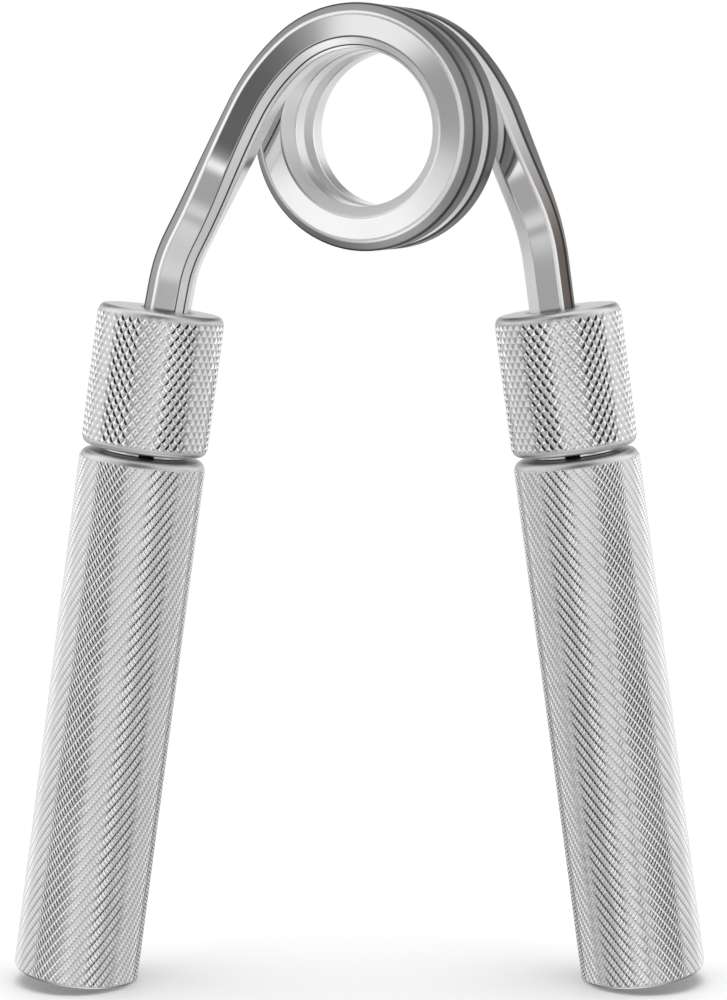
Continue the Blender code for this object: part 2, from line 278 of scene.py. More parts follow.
def wire_stations():
    """(point, tangent, face turn) along the whole wire, from the left leg's foot to the right leg's foot."""
    steps = round((COIL_START - COIL_END) / COIL_STEP / 2) * 2
    coil = [coil_point(COIL_START + (COIL_END - COIL_START) * i / steps) for i in range(1, steps)]
    left = leg_points(COIL_START, -1, LEFT_LEG)
    right = leg_points(COIL_END, 1, RIGHT_LEG)
    points = left[::-1] + coil + right
    turns = leg_face_turns(left, LEFT_FACE_TURN)[::-1]
    turns += [COIL_SKEW] * len(coil) + leg_face_turns(right, RIGHT_FACE_TURN)
    stations = []
    for i, (point, turn) in enumerate(zip(points, turns)):
        before, after = points[max(i - 1, 0)], points[min(i + 1, len(points) - 1)]
        stations.append((point, (after - before).normalized(), turn))
    middle = len(left) + steps // 2 - 1
    return stations, middle


def wire_piece(name, stations, along_start):
    """A closed length of the wire, with the normals of its true surface."""
    section = wire_section()
    verts, normals, along, travelled = [], [], [], along_start
    for i, (point, tangent, face_turn) in enumerate(stations):
        if i:
            travelled += (point - stations[i - 1][0]).length
        turn = math.radians(face_turn)
        back = Vector((math.sin(turn), math.cos(turn), 0.0))
        back = (back - tangent * back.dot(tangent)).normalized()
        outward = tangent.cross(back)
        for u, w, facing, _ in section:
            verts.append((point + outward * u + back * w) * MM)
            normals.append(outward * math.cos(facing) + back * math.sin(facing))
            along.append(travelled)
    count = len(section)
    faces = [tuple(range(count)), tuple(range(len(verts) - 1, len(verts) - count - 1, -1))]
    for ring in range(len(stations) - 1):
        for i in range(count):
            a, b = ring * count + i, ring * count + (i + 1) % count
            faces.append((a, a + count, b + count, b))
    mesh = bpy.data.meshes.new(name)
    mesh.from_pydata(verts, [], faces)
    mesh.shade_smooth()
    mesh.normals_split_custom_set_from_vertices(normals)
    place = mesh.attributes.new("wire_place", "FLOAT_VECTOR", "POINT")
    for i, value in enumerate(place.data):
        _, _, facing, inward = section[i % count]
        value.vector = (along[i], facing, inward)
    obj = bpy.data.objects.new(name, mesh)
    bpy.context.scene.collection.objects.link(obj)
    return obj


def build_spring(steel):
    """The wire in two halves, which meet in the middle of the coil."""
    stations, middle = wire_stations()
    halves = (
        ("spring_wire_front", stations[: middle + 1], "left", -1),
        ("spring_wire_back", stations[middle:], "right", 1),
    )
    for name, part, side_name, side in halves:
        piece = wire_piece(name, part, 0.0 if side < 0 else BACK_HALF_FROM)
        piece.data.materials.append(steel)
        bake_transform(piece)
        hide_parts(f"spring_leg_{side_name}")
        if side < 0:
            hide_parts("spring_coil")


# ---------------------------------------------------------------- turned and knurled pieces


def handle_place(side_name):
    """The matrix of a handle: its collar's top at the origin, +Z up the handle, +X in the handles' plane."""
    up = HANDLE_UP[side_name]
    across = Vector((up.z, 0.0, -up.x))
    turn = Matrix((across, Vector((0.0, 1.0, 0.0)), up)).transposed().to_4x4()
    return Matrix.Translation(HANDLE_TOP[side_name] * MM) @ turn


def add_piece(name, bm, side_name, body, material, replaced, knurls=(), sharp_angle=SHARP_ANGLE):
    """Makes a piece of a handle from bm, in millimetres, and puts it on its body.

    lathe_place is the depth, the distance from the axis, and 1 where the piece is knurled.
    """
    bmesh.ops.recalc_face_normals(bm, faces=bm.faces)
    lathe = bm.verts.layers.float_vector.new("lathe_place")
    for vert in bm.verts:
        depth = -vert.co.z
        knurled = any(low < depth < high for low, high in knurls)
        vert[lathe] = (depth, math.hypot(vert.co.x, vert.co.y), float(knurled))
    bmesh.ops.scale(bm, vec=(MM, MM, MM), verts=bm.verts)
    bmesh.ops.transform(bm, matrix=handle_place(side_name), verts=bm.verts)
    mesh = bpy.data.meshes.new(name)
    bm.to_mesh(mesh)
    bm.free()
    mesh.shade_smooth()
    mesh.set_sharp_from_angle(angle=math.radians(sharp_angle))
    mesh.materials.append(material)
    obj = bpy.data.objects.new(name, mesh)
    bpy.context.scene.collection.objects.link(obj)
    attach(obj, body)
    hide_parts(replaced)
    return obj


def turned(profile, gap=0.0, gap_turn=0.0):
    """A turned solid from a closed (radius, depth) profile, open over a gap in degrees at gap_turn."""
    bm = bmesh.new()
    verts = [bm.verts.new((radius, 0.0, -depth)) for radius, depth in profile]
    face = bm.faces.new(verts)
    geom = verts + list(face.edges)
    if gap:
        bmesh.ops.rotate(bm, verts=verts, matrix=Matrix.Rotation(math.radians(gap_turn + gap / 2), 3, "Z"))
        geom.append(face)
    else:
        bmesh.ops.delete(bm, geom=[face], context="FACES_ONLY")
    bmesh.ops.spin(
        bm,
        geom=geom,
        cent=(0.0, 0.0, 0.0),
        axis=(0.0, 0.0, 1.0),
        angle=math.radians(360.0 - gap),
        steps=TURNED_SIDES,
        use_merge=not gap,
    )
    bmesh.ops.remove_doubles(bm, verts=bm.verts, dist=SAME_POINT)
    return bm


class Knurl:
    """Knurling on a cylinder: cells between two families of V grooves.

    A point has lattice coordinates (a, b): a is whole on the grooves of the first family, b on the second's.
    """

    def __init__(self, radius, starts, grooves, lean):
        self.radius = radius
        self.starts = starts
        self.grooves = grooves
        self.lean = lean
        self.round = math.tau * radius
        self.pitches = [self.round / n * math.cos(math.radians(KNURL_LEAN)) for n in starts]
        self.verts, self.faces, self.index = [], [], {}

    def place(self, a, b, drop):
        """The point at (a, b), this far in from the cylinder."""
        share_a, share_b = a / self.starts[0], b / self.starts[1]
        angle = math.tau * (share_a + share_b) / 2
        depth = (share_b - share_a) * self.round / (2 * math.tan(math.radians(KNURL_LEAN)))
        radius = self.radius - drop
        return (radius * math.cos(angle) * self.lean, radius * math.sin(angle), -depth)

    def vert(self, key, a, b, drop):
        """The vertex of this kind at (a, b), which is the same one after a full turn."""
        turns = math.floor(key[1] / self.starts[0])
        key = (key[0], key[1] - turns * self.starts[0], key[2] - turns * self.starts[1], *key[3:])
        if key not in self.index:
            self.index[key] = len(self.verts)
            self.verts.append(self.place(a, b, drop))
        return self.index[key]

    def cell(self, i, j):
        """Adds one raised cell: its flat top, a narrow worn edge, and the four walls down to the grooves."""
        fine, coarse = self.grooves
        margin_a, margin_b = fine / self.pitches[0], coarse / self.pitches[1]
        edge_a, edge_b = KNURL_EDGE / self.pitches[0], KNURL_EDGE / self.pitches[1]
        step = (coarse - fine) / self.pitches[1]
        corners = ((0, 0), (1, 0), (1, 1), (0, 1))
        signs = {0: 1, 1: -1}
        cross = [self.vert(("cross", i + p, j + q), i + p, j + q, coarse * KNURL_FALL) for p, q in corners]
        rim, top = [], []
        for p, q in corners:
            a, b = i + p + signs[p] * margin_a, j + q + signs[q] * margin_b
            rim.append(self.vert(("rim", i, j, p, q), a, b, KNURL_EDGE / 2))
            top.append(self.vert(("top", i, j, p, q), a + signs[p] * edge_a, b + signs[q] * edge_b, 0.0))
        self.faces.append(top)
        for n in range(4):
            after = (n + 1) % 4
            self.faces.append([rim[n], rim[after], top[after], top[n]])
        if step <= 0:
            for n in range(4):
                after = (n + 1) % 4
                self.faces.append([cross[n], cross[after], rim[after], rim[n]])
            return
        bottoms = {}
        for p in (0, 1):
            for q in (0, 1):
                key = ("bottom", i + p, j, q)
                bottoms[p, q] = self.vert(key, i + p, j + q + signs[q] * step, fine * KNURL_FALL)
        self.faces.append([cross[0], cross[1], bottoms[1, 0], rim[1], rim[0], bottoms[0, 0]])
        self.faces.append([cross[2], cross[3], bottoms[0, 1], rim[3], rim[2], bottoms[1, 1]])
        self.faces.append([bottoms[1, 0], bottoms[1, 1], rim[2], rim[1]])
        self.faces.append([bottoms[0, 1], bottoms[0, 0], rim[0], rim[3]])

    def bmesh(self, low, high):
        """The knurled surface a little beyond these depths."""
        slope = 2 * math.tan(math.radians(KNURL_LEAN)) / self.round
        for i in range(self.starts[0]):
            first = math.floor(self.starts[1] * (i / self.starts[0] + slope * low)) - SPARE_CELLS
            last = math.ceil(self.starts[1] * (i / self.starts[0] + slope * high)) + SPARE_CELLS
            for j in range(first, last):
                self.cell(i, j)
        mesh = bpy.data.meshes.new("knurl")
        mesh.from_pydata(self.verts, [], self.faces)
        bm = bmesh.new()
        bm.from_mesh(mesh)
        bpy.data.meshes.remove(mesh)
        return bm


def cut_at(bm, depth, keep):
    """Cuts bm across at this depth. keep is "below", "above" or "both"."""
    bmesh.ops.bisect_plane(
        bm,
        geom=bm.verts[:] + bm.edges[:] + bm.faces[:],
        dist=CUT_TOLERANCE,
        plane_co=(0.0, 0.0, -depth),
        plane_no=(0.0, 0.0, 1.0),
        clear_outer=keep == "below",
        clear_inner=keep == "above",
    )


def rim_of(bm, depth):
    """The open edge's vertices at this depth, in order round the axis."""
    found = set()
    for edge in bm.edges:
        if edge.is_boundary:
            found.update(vert for vert in edge.verts if abs(vert.co.z + depth) < RIM_TOLERANCE)
    return sorted(found, key=lambda vert: math.atan2(vert.co.y, vert.co.x))


def continue_turned(bm, loop, profile):
    """Carries an open edge on as a turned surface through (radius, depth) points. Returns the last loop."""
    for radius, depth in profile:
        new = []
        for vert in loop:
            flat = Vector((vert.co.x, vert.co.y, 0.0)).normalized() * radius
            new.append(bm.verts.new((flat.x, flat.y, -depth)))
        for n in range(len(loop)):
            after = (n + 1) % len(loop)
            bm.faces.new((loop[n], loop[after], new[after], new[n]))
        loop = new
    return loop


def end_round(end, theta):
    """(radius, depth) on the rounded end of a knurled piece, theta degrees round from its side."""
    depth, size, _, inward = end
    theta = math.radians(theta)
    corner = HANDLE_RADIUS - TURNED_OFF - size
    return corner + size * math.cos(theta), depth + inward * size * (1 - math.sin(theta))


def knurled_tube(knurl, ends, groove):
    """The knurled outside of a piece, turned down at its two ends.

    An end is (depth, size of its rounding, length turned down, 1 at the top or -1 at the foot). Returns the
    surface, its two open edges, and how far round each rounding it has got, in degrees.
    """
    bm = knurl.bmesh(ends[0][0] - KNURL_OVERRUN, ends[1][0] + KNURL_OVERRUN)
    reached = []
    for end in ends:
        depth, size, land, inward = end
        groove_foot = math.acos(1 - (groove * KNURL_FALL - TURNED_OFF) / size)
        last = math.degrees(groove_foot) + KNURL_END_MARGIN
        cut_at(bm, depth + inward * land, "both")
        cut_at(bm, depth + inward * (land - SHOULDER), "both")
        for step in range(1, KNURL_END_CUTS + 1):
            keep = "both" if step < KNURL_END_CUTS else "below" if inward > 0 else "above"
            cut_at(bm, end_round(end, last * step / KNURL_END_CUTS)[1], keep)
        reached.append(last)
    for vert in bm.verts:
        radius, depth = math.hypot(vert.co.x, vert.co.y), -vert.co.z
        for start, size, land, inward in ends:
            below = inward * (depth - start)
            if below < land - SHOULDER / 2:
                rise = max(size - below, 0.0)
                most = HANDLE_RADIUS - TURNED_OFF - size + math.sqrt(max(size * size - rise * rise, 0.0))
                if radius > most:
                    vert.co.x *= most / radius
                    vert.co.y *= most / radius
                    radius = most
    loops = [rim_of(bm, end_round(end, last)[1]) for end, last in zip(ends, reached)]
    return bm, loops, reached


def leg_hole(side_name):
    """Where the spring leg enters this collar, in the handle's own frame: a point and the direction down."""
    segments, side = (LEFT_LEG, -1) if side_name == "left" else (RIGHT_LEG, 1)
    leg = leg_points(COIL_START if side < 0 else COIL_END, side, segments)
    inverse = handle_place(side_name).inverted()
    foot, above = (inverse @ (point * MM) / MM for point in (leg[-1], leg[-2]))
    return foot, (foot - above).normalized()


def rest_of_round(end, reached, steps=ROUND_STEPS):
    """The rounded end of a piece from where its knurling ends to its flat face."""
    return [end_round(end, reached + (90 - reached) * step / steps) for step in range(1, steps + 1)]


def collar(side_name, side, material):
    """Knurled collar, with the hole for the spring leg in its top face."""
    knurl = Knurl(HANDLE_RADIUS, (KNURL_STARTS, KNURL_STARTS), (COLLAR_GROOVE, COLLAR_GROOVE), -side)
    top = (0.0, COLLAR_TOP_ROUND, COLLAR_TOP_LAND, 1)
    foot = (COLLAR_LENGTH, COLLAR_FOOT_ROUND, COLLAR_FOOT_LAND, -1)
    bm, (top_loop, foot_loop), reached = knurled_tube(knurl, (top, foot), COLLAR_GROOVE)
    profile = rest_of_round(top, reached[0])
    profile.append((profile[-1][0] - COLLAR_TOP_FLAT, 0.0))
    top_loop = continue_turned(bm, top_loop, profile)
    leg_foot, down = leg_hole(side_name)
    mouth = leg_foot - down * (leg_foot.z / down.z)
    hole_foot = leg_foot + down * LEG_HOLE_ROOM
    side_on = down.cross(Vector((0.0, 1.0, 0.0))).normalized()
    forward = down.cross(side_on)
    hole = []
    for centre, radius, flush in (
        (mouth, LEG_HOLE_RADIUS + LEG_HOLE_CHAMFER, True),
        (mouth + down * LEG_HOLE_CHAMFER, LEG_HOLE_RADIUS, False),
        (hole_foot, LEG_HOLE_RADIUS, False),
    ):
        ring = []
        for n in range(TURNED_SIDES):
            theta = math.tau * n / TURNED_SIDES
            point = centre + (side_on * math.cos(theta) + forward * math.sin(theta)) * radius
            if flush:
                point -= down * (point.z / down.z)
            ring.append(bm.verts.new(point))
        hole.append(ring)
    for first, second in zip(hole, hole[1:]):
        for n in range(TURNED_SIDES):
            after = (n + 1) % TURNED_SIDES
            bm.faces.new((first[n], first[after], second[after], second[n]))
    bm.faces.new(hole[-1])
    bridge(bm, top_loop, hole[0])
    inside = [
        (RING_RECESS_RADIUS + EDGE_BREAK, COLLAR_LENGTH),
        (RING_RECESS_RADIUS, COLLAR_LENGTH - EDGE_BREAK),
        (RING_RECESS_RADIUS, RING_RECESS_TOP),
        (COLLAR_BORE_RADIUS, RING_RECESS_TOP),
        (COLLAR_BORE_RADIUS, COLLAR_BORE_TOP),
    ]
    last = continue_turned(bm, foot_loop, rest_of_round(foot, reached[1]) + inside)
    bm.faces.new(last)
    name = f"knurled_collar_{side_name}"
    body = f"handle_{side_name}"
    knurls = [(COLLAR_TOP_LAND - SHOULDER / 2, COLLAR_LENGTH - COLLAR_FOOT_LAND + SHOULDER / 2)]
    replaced = f"collar_{side_name}"
    return add_piece(name, bm, side_name, body, material, replaced, knurls=knurls)


def bridge(bm, first, second):
    """Joins two loops of vertices, whose edges may or may not be there, with a band of faces."""
    edges = []
    for loop in (first, second):
        for n, vert in enumerate(loop):
            pair = (vert, loop[(n + 1) % len(loop)])
            edges.append(bm.edges.get(pair) or bm.edges.new(pair))
    bmesh.ops.bridge_loops(bm, edges=edges)


def grip_sleeve(side_name, side, material):
    """Knurled grip sleeve: coarse grooves one way and grooves twice as close the other way."""
    starts, grooves = (2 * KNURL_STARTS, KNURL_STARTS), (GRIP_FINE_GROOVE, GRIP_COARSE_GROOVE)
    knurl = Knurl(HANDLE_RADIUS, starts, grooves, -side)
    top = (SLEEVE_TOP, SLEEVE_TOP_ROUND, SLEEVE_TOP_LAND, 1)
    foot = (HANDLE_LENGTH, SLEEVE_FOOT_ROUND, SLEEVE_FOOT_LAND, -1)
    bm, (top_loop, foot_loop), reached = knurled_tube(knurl, (top, foot), GRIP_COARSE_GROOVE)
    shoulder = SLEEVE_TOP + SLEEVE_MOUTH_LENGTH
    inside = [
        (SLEEVE_MOUTH_RADIUS + EDGE_BREAK, SLEEVE_TOP),
        (SLEEVE_MOUTH_RADIUS, SLEEVE_TOP + EDGE_BREAK),
        (SLEEVE_MOUTH_RADIUS, shoulder),
        (SLEEVE_BORE_RADIUS, shoulder),
    ]
    rounding = rest_of_round(top, reached[0], SLEEVE_TOP_ROUND_STEPS)
    top_last = continue_turned(bm, top_loop, rounding + inside)
    seat = HANDLE_LENGTH - CAP_SEAT_LENGTH - CLEARANCE
    inside = [
        (CAP_SEAT_RADIUS + EDGE_BREAK, HANDLE_LENGTH),
        (CAP_SEAT_RADIUS, HANDLE_LENGTH - EDGE_BREAK),
        (CAP_SEAT_RADIUS, seat),
        (SLEEVE_BORE_RADIUS, seat),
    ]
    foot_last = continue_turned(bm, foot_loop, rest_of_round(foot, reached[1]) + inside)
    bridge(bm, top_last, foot_last)
    name = f"knurled_grip_{side_name}"
    body = f"grip_{side_name}"
    knurls = [(SLEEVE_TOP + SLEEVE_TOP_LAND - SHOULDER / 2, HANDLE_LENGTH - SLEEVE_FOOT_LAND + SHOULDER / 2)]
    replaced = f"grip_sleeve_{side_name}"
    return add_piece(name, bm, side_name, body, material, replaced, knurls=knurls)


def retaining_ring(side_name, side, material):
    """Split ring whose outer edges are chamfered. Its opening faces the front, turned a little inwards."""
    foot = RING_TOP + RING_THICKNESS
    profile = [
        (RING_BORE_RADIUS, RING_TOP),
        (RING_RADIUS - RING_CHAMFER, RING_TOP),
        (RING_RADIUS, RING_TOP + RING_CHAMFER),
        (RING_RADIUS, foot - RING_CHAMFER),
        (RING_RADIUS - RING_CHAMFER, foot),
        (RING_BORE_RADIUS, foot),
    ]
    bm = turned(profile, RING_GAP, -90.0 - side * RING_GAP_TURN)
    name = f"split_ring_{side_name}"
    body = f"handle_{side_name}"
    replaced = f"retaining_ring_{side_name}"
    sharp = RING_SHARP_ANGLE
    return add_piece(name, bm, side_name, body, material, replaced, sharp_angle=sharp)


def end_cap(side_name, material):
    """End cap with a chamfered rim, face-turned, with the small centre mark that the lathe leaves."""
    flange_top = HANDLE_LENGTH - CAP_SEAT_LENGTH
    flange = CAP_SEAT_RADIUS - CLEARANCE
    spigot = SLEEVE_BORE_RADIUS - CLEARANCE
    spigot_top = flange_top - CAP_SPIGOT_LENGTH
    profile = [
        (0.0, spigot_top),
        (spigot - CAP_CHAMFER, spigot_top),
        (spigot, spigot_top + CAP_CHAMFER),
        (spigot, flange_top),
        (flange, flange_top),
        (flange, HANDLE_LENGTH - CAP_CHAMFER),
        (flange - CAP_CHAMFER, HANDLE_LENGTH),
        (CAP_MARK_RADIUS, HANDLE_LENGTH),
        (0.0, HANDLE_LENGTH - CAP_MARK_DEPTH),
    ]
    bm = turned(profile)
    name = f"turned_cap_{side_name}"
    body = f"grip_{side_name}"
    return add_piece(name, bm, side_name, body, material, f"end_cap_{side_name}")


# ---------------------------------------------------------------- materials

# Most of a noise texture's values lie between these.
NOISE_LOW = 0.3
NOISE_HIGH = 0.7

# Tool marks: how close together they are, how deep their bump is, and how strong it is on the knurled pieces
# and on the turned ones. Then the depth and strength of the grain's bump on the pieces inside.
TOOL_MARKS = 14.0
TOOL_MARK_BUMP = 0.00001
KNURLED_TOOL_MARKS = 0.15
TURNED_TOOL_MARKS = 0.2
GRAIN_BUMP = 0.00002
GRAIN_STRENGTH = 0.1

# How close together the wire's draw marks are along it, across it and from side to side, and how close the
# soft clouds of tone are on the wire and on the knurled pieces.
DRAW_MARKS = (0.03, 5.0, 1.0)
WIRE_CLOUDS = 60.0
KNURLED_CLOUDS = 150.0

# Metals of the pieces inside a handle: (dark, light, least roughness, most roughness, grain), and which piece
# is made of which.
INSIDE_METALS = {
    "washer_steel": ((0.62, 0.62, 0.63), (0.74, 0.74, 0.75), 0.18, 0.32, 900.0),
    "black_oxide_steel": ((0.012, 0.012, 0.014), (0.035, 0.035, 0.038), 0.38, 0.55, 900.0),
    "sintered_bronze": ((0.40, 0.25, 0.12), (0.60, 0.41, 0.22), 0.40, 0.60, 2500.0),
}
INSIDE_PIECES = {
    "core": "black_oxide_steel",
    "retaining_screw": "black_oxide_steel",
    "thrust_washer": "washer_steel",
    "upper_bush": "sintered_bronze",
    "lower_bush": "sintered_bronze",
}


def new_metal(name, colour, roughness):
    """A metal, with its nodes, its links and its shader."""
    made = bpy.data.materials.new(name)
    made.use_nodes = True
    nodes = made.node_tree.nodes
    shader = nodes["Principled BSDF"]
    shader.inputs["Base Color"].default_value = (*colour, 1.0)
    shader.inputs["Roughness"].default_value = roughness
    shader.inputs["Metallic"].default_value = 1.0
    made.diffuse_color = (*colour, 1.0)
    return made, nodes, made.node_tree.links, shader


def place_vector(nodes, links, source, scale):
    """Coordinates for a texture: an attribute of the mesh, or the object's own, times scale."""
    if source == "object":
        coordinates = nodes.new("ShaderNodeTexCoord").outputs["Object"]
    else:
        attribute = nodes.new("ShaderNodeAttribute")
        attribute.attribute_name = source
        coordinates = attribute.outputs["Vector"]
    mapping = nodes.new("ShaderNodeMapping")
    mapping.inputs["Scale"].default_value = scale
    links.new(coordinates, mapping.inputs["Vector"])
    return mapping.outputs["Vector"]


def noise(nodes, links, source, scale, detail=2.0):
    """A noise texture's value. The scale is one for each coordinate."""
    texture = nodes.new("ShaderNodeTexNoise")
    texture.inputs["Scale"].default_value = 1.0
    texture.inputs["Detail"].default_value = detail
    links.new(place_vector(nodes, links, source, scale), texture.inputs["Vector"])
    return texture.outputs["Fac"]


def ranged(nodes, links, value, low, high):
    """The range of a noise texture's value, spread from low to high."""
    spread = nodes.new("ShaderNodeMapRange")
    spread.inputs["From Min"].default_value = NOISE_LOW
    spread.inputs["From Max"].default_value = NOISE_HIGH
    spread.inputs["To Min"].default_value = low
    spread.inputs["To Max"].default_value = high
    links.new(value, spread.inputs["Value"])
    return spread.outputs["Result"]


def tinted(nodes, links, value, dark, light):
    """A colour from dark to light, over the range of a noise texture's value."""
    mix = nodes.new("ShaderNodeMix")
    mix.data_type = "RGBA"
    mix.inputs["A"].default_value = (*dark, 1.0)
    mix.inputs["B"].default_value = (*light, 1.0)
    links.new(ranged(nodes, links, value, 0.0, 1.0), mix.inputs["Factor"])
    return mix.outputs["Result"]


def bumped(nodes, links, shader, height, strength, distance):
    """Puts a bump of this height on the shader."""
    bump = nodes.new("ShaderNodeBump")
    bump.inputs["Strength"].default_value = strength
    bump.inputs["Distance"].default_value = distance
    links.new(height, bump.inputs["Height"])
    links.new(bump.outputs["Normal"], shader.inputs["Normal"])


# The wire's finish and painted light round its section: (inwardness, base colour, roughness). The roughness
# is the finish; the base colours are painted light and shade. The outer side ends at a painted dark line. The
# outer chamfer is duller than the polished flat and painted darker, a painted shade, with a painted highlight
# on the land between them. The inner chamfer and the inner side are painted bright.
WIRE_FINISH_AND_PAINTED_LIGHT = (
    (0.110, 0.85, 0.20),
    (0.128, 0.10, 0.40),
    (0.180, 0.08, 0.40),
    (0.190, 0.40, 0.50),
    (0.300, 0.42, 0.50),
    (0.312, 1.00, 0.50),
    (0.360, 1.00, 0.50),
    (0.372, 0.72, 0.08),
    (0.636, 0.72, 0.08),
    (0.652, 0.97, 0.45),
    (0.800, 0.97, 0.45),
    (0.880, 0.93, 0.25),
)
# Two thin painted dark lines, painted reflections, at the flat's inner edge and on the inner chamfer:
# (inwardness, how much light they leave). They start at the left leg's foot and fade out on the front turn,
# between these lengths along the wire.
PAINTED_REFLECTION_LINES = (
    (0.634, 1.00),
    (0.641, 0.12),
    (0.654, 0.12),
    (0.661, 1.00),
    (0.773, 1.00),
    (0.780, 0.05),
    (0.796, 0.05),
    (0.803, 1.00),
)
PAINTED_LINES_FADE = (84.0, 112.0)
# On the turns behind the front one, between these lengths along the wire, the outer chamfer is painted
# bright, a painted highlight.
BACK_TURNS_FROM = (196.0, 206.0)
BACK_TURNS_TO = (322.0, 340.0)
BACK_CHAMFER_PAINTED_LIGHT = 0.88
OUTER_CHAMFER = (0.185, 0.305)
OUTER_CHAMFER_END = (0.306, 0.302)
# The right leg's outer chamfer is painted darker and browner, a painted shade, from this length along the
# wire.
BROWN_FROM = (318.0, 342.0)
BROWN_PAINTED_SHADE = (0.45, 0.39, 0.365)


def ramp(nodes, links, value, stops):
    """A grey that follows these (place, value) stops."""
    made = nodes.new("ShaderNodeValToRGB")
    elements = made.color_ramp.elements
    while len(elements) < len(stops):
        elements.new(0.5)
    for element, (place, grey) in zip(elements, stops):
        element.position = place
        element.color = (grey, grey, grey, 1.0)
    links.new(value, made.inputs["Fac"])
    return made.outputs["Color"]


def multiplied(nodes, links, first, second, share=None):
    """The product of two colours, or part of the way to it."""
    mix = nodes.new("ShaderNodeMix")
    mix.data_type = "RGBA"
    mix.blend_type = "MULTIPLY"
    mix.inputs["Factor"].default_value = 1.0
    if share is not None:
        links.new(share, mix.inputs["Factor"])
    links.new(first, mix.inputs["A"])
    if isinstance(second, tuple):
        mix.inputs["B"].default_value = (*second, 1.0)
    else:
        links.new(second, mix.inputs["B"])
    return mix.outputs["Result"]


def stepped(nodes, links, value, low, high):
    """0 where value is on low's side, 1 where it is on high's side, and between them on the way."""
    spread = nodes.new("ShaderNodeMapRange")
    spread.inputs["From Min"].default_value = low
    spread.inputs["From Max"].default_value = high
    links.new(value, spread.inputs["Value"])
    return spread.outputs["Result"]


def product(nodes, links, first, second):
    """The product of two values."""
    node = nodes.new("ShaderNodeMath")
    node.operation = "MULTIPLY"
    links.new(first, node.inputs[0])
    links.new(second, node.inputs[1])
    return node.outputs[0]


def attribute_parts(nodes, links, name):
    """The three parts of a mesh attribute."""
    attribute = nodes.new("ShaderNodeAttribute")
    attribute.attribute_name = name
    split = nodes.new("ShaderNodeSeparateXYZ")
    links.new(attribute.outputs["Vector"], split.inputs[0])
    return split.outputs


def polished_steel():
    """Spring wire: the finish and painted light and shade above round its section, with soft clouds of tone
    and faint draw marks.

    The turns at the back have a painted bright outer chamfer, a painted highlight, and the right leg has a
    darker, browner one, a painted shade.
    """
    made, nodes, links, shader = new_metal("polished_spring_steel", (0.68, 0.68, 0.69), 0.12)
    along, _, inward = attribute_parts(nodes, links, "wire_place")
    marks = noise(nodes, links, "wire_place", DRAW_MARKS, 3.0)
    clouds = noise(nodes, links, "object", (WIRE_CLOUDS, WIRE_CLOUDS, WIRE_CLOUDS))
    # The outer chamfer of the back turns is painted bright, a painted highlight.
    after_front = stepped(nodes, links, along, *BACK_TURNS_FROM)
    before_leg = stepped(nodes, links, along, BACK_TURNS_TO[1], BACK_TURNS_TO[0])
    low, high = OUTER_CHAMFER
    # The base colours round the section are painted light and shade by facing; the roughness is the finish.
    front_greys = [(place, grey) for place, grey, _ in WIRE_FINISH_AND_PAINTED_LIGHT]
    back_greys = [(place, BACK_CHAMFER_PAINTED_LIGHT if low < place < high else grey) for place, grey in front_greys]
    turns = nodes.new("ShaderNodeMix")
    turns.data_type = "RGBA"
    links.new(product(nodes, links, after_front, before_leg), turns.inputs["Factor"])
    links.new(ramp(nodes, links, inward, front_greys), turns.inputs["A"])
    links.new(ramp(nodes, links, inward, back_greys), turns.inputs["B"])
    tone = turns.outputs["Result"]
    tone = multiplied(nodes, links, tone, tinted(nodes, links, clouds, (0.94, 0.94, 0.945), (1.0, 1.0, 1.0)))
    # Painted dark reflection lines along the left leg and the front turn.
    painted_lines_shown = stepped(nodes, links, along, PAINTED_LINES_FADE[1], PAINTED_LINES_FADE[0])
    tone = multiplied(nodes, links, tone, ramp(nodes, links, inward, PAINTED_REFLECTION_LINES), painted_lines_shown)
    # The right leg's outer chamfer is painted darker and browner, a painted shade.
    on_right_leg = stepped(nodes, links, along, *BROWN_FROM)
    on_chamfer = stepped(nodes, links, inward, *OUTER_CHAMFER_END)
    brown = product(nodes, links, on_right_leg, on_chamfer)
    tone = multiplied(nodes, links, tone, BROWN_PAINTED_SHADE, brown)
    links.new(tone, shader.inputs["Base Color"])
    dullness = ramp(nodes, links, inward, [(place, dull) for place, _, dull in WIRE_FINISH_AND_PAINTED_LIGHT])
    rough = product(nodes, links, dullness, ranged(nodes, links, marks, 0.85, 1.25))
    links.new(rough, shader.inputs["Roughness"])
    return made


def knurled_aluminium(name):
    """Aluminium: bright where it is knurled, satin where it is only turned."""
    made, nodes, links, shader = new_metal(name, (0.82, 0.82, 0.82), 0.2)
    _, _, knurled = attribute_parts(nodes, links, "lathe_place")
    turning = noise(nodes, links, "lathe_place", (TOOL_MARKS, TOOL_MARKS, 0.0), 1.0)
    clouds = noise(nodes, links, "object", (KNURLED_CLOUDS, KNURLED_CLOUDS, KNURLED_CLOUDS))
    tone = nodes.new("ShaderNodeMix")
    tone.data_type = "RGBA"
    links.new(knurled, tone.inputs["Factor"])
    links.new(tinted(nodes, links, turning, (0.64, 0.64, 0.65), (0.74, 0.74, 0.75)), tone.inputs["A"])
    links.new(tinted(nodes, links, clouds, (0.80, 0.80, 0.80), (0.86, 0.86, 0.86)), tone.inputs["B"])
    links.new(tone.outputs["Result"], shader.inputs["Base Color"])
    rough = nodes.new("ShaderNodeMix")
    links.new(knurled, rough.inputs["Factor"])
    links.new(ranged(nodes, links, turning, 0.36, 0.44), rough.inputs["A"])
    links.new(ranged(nodes, links, clouds, 0.12, 0.20), rough.inputs["B"])
    links.new(rough.outputs["Result"], shader.inputs["Roughness"])
    bumped(nodes, links, shader, turning, KNURLED_TOOL_MARKS, TOOL_MARK_BUMP)
    return made


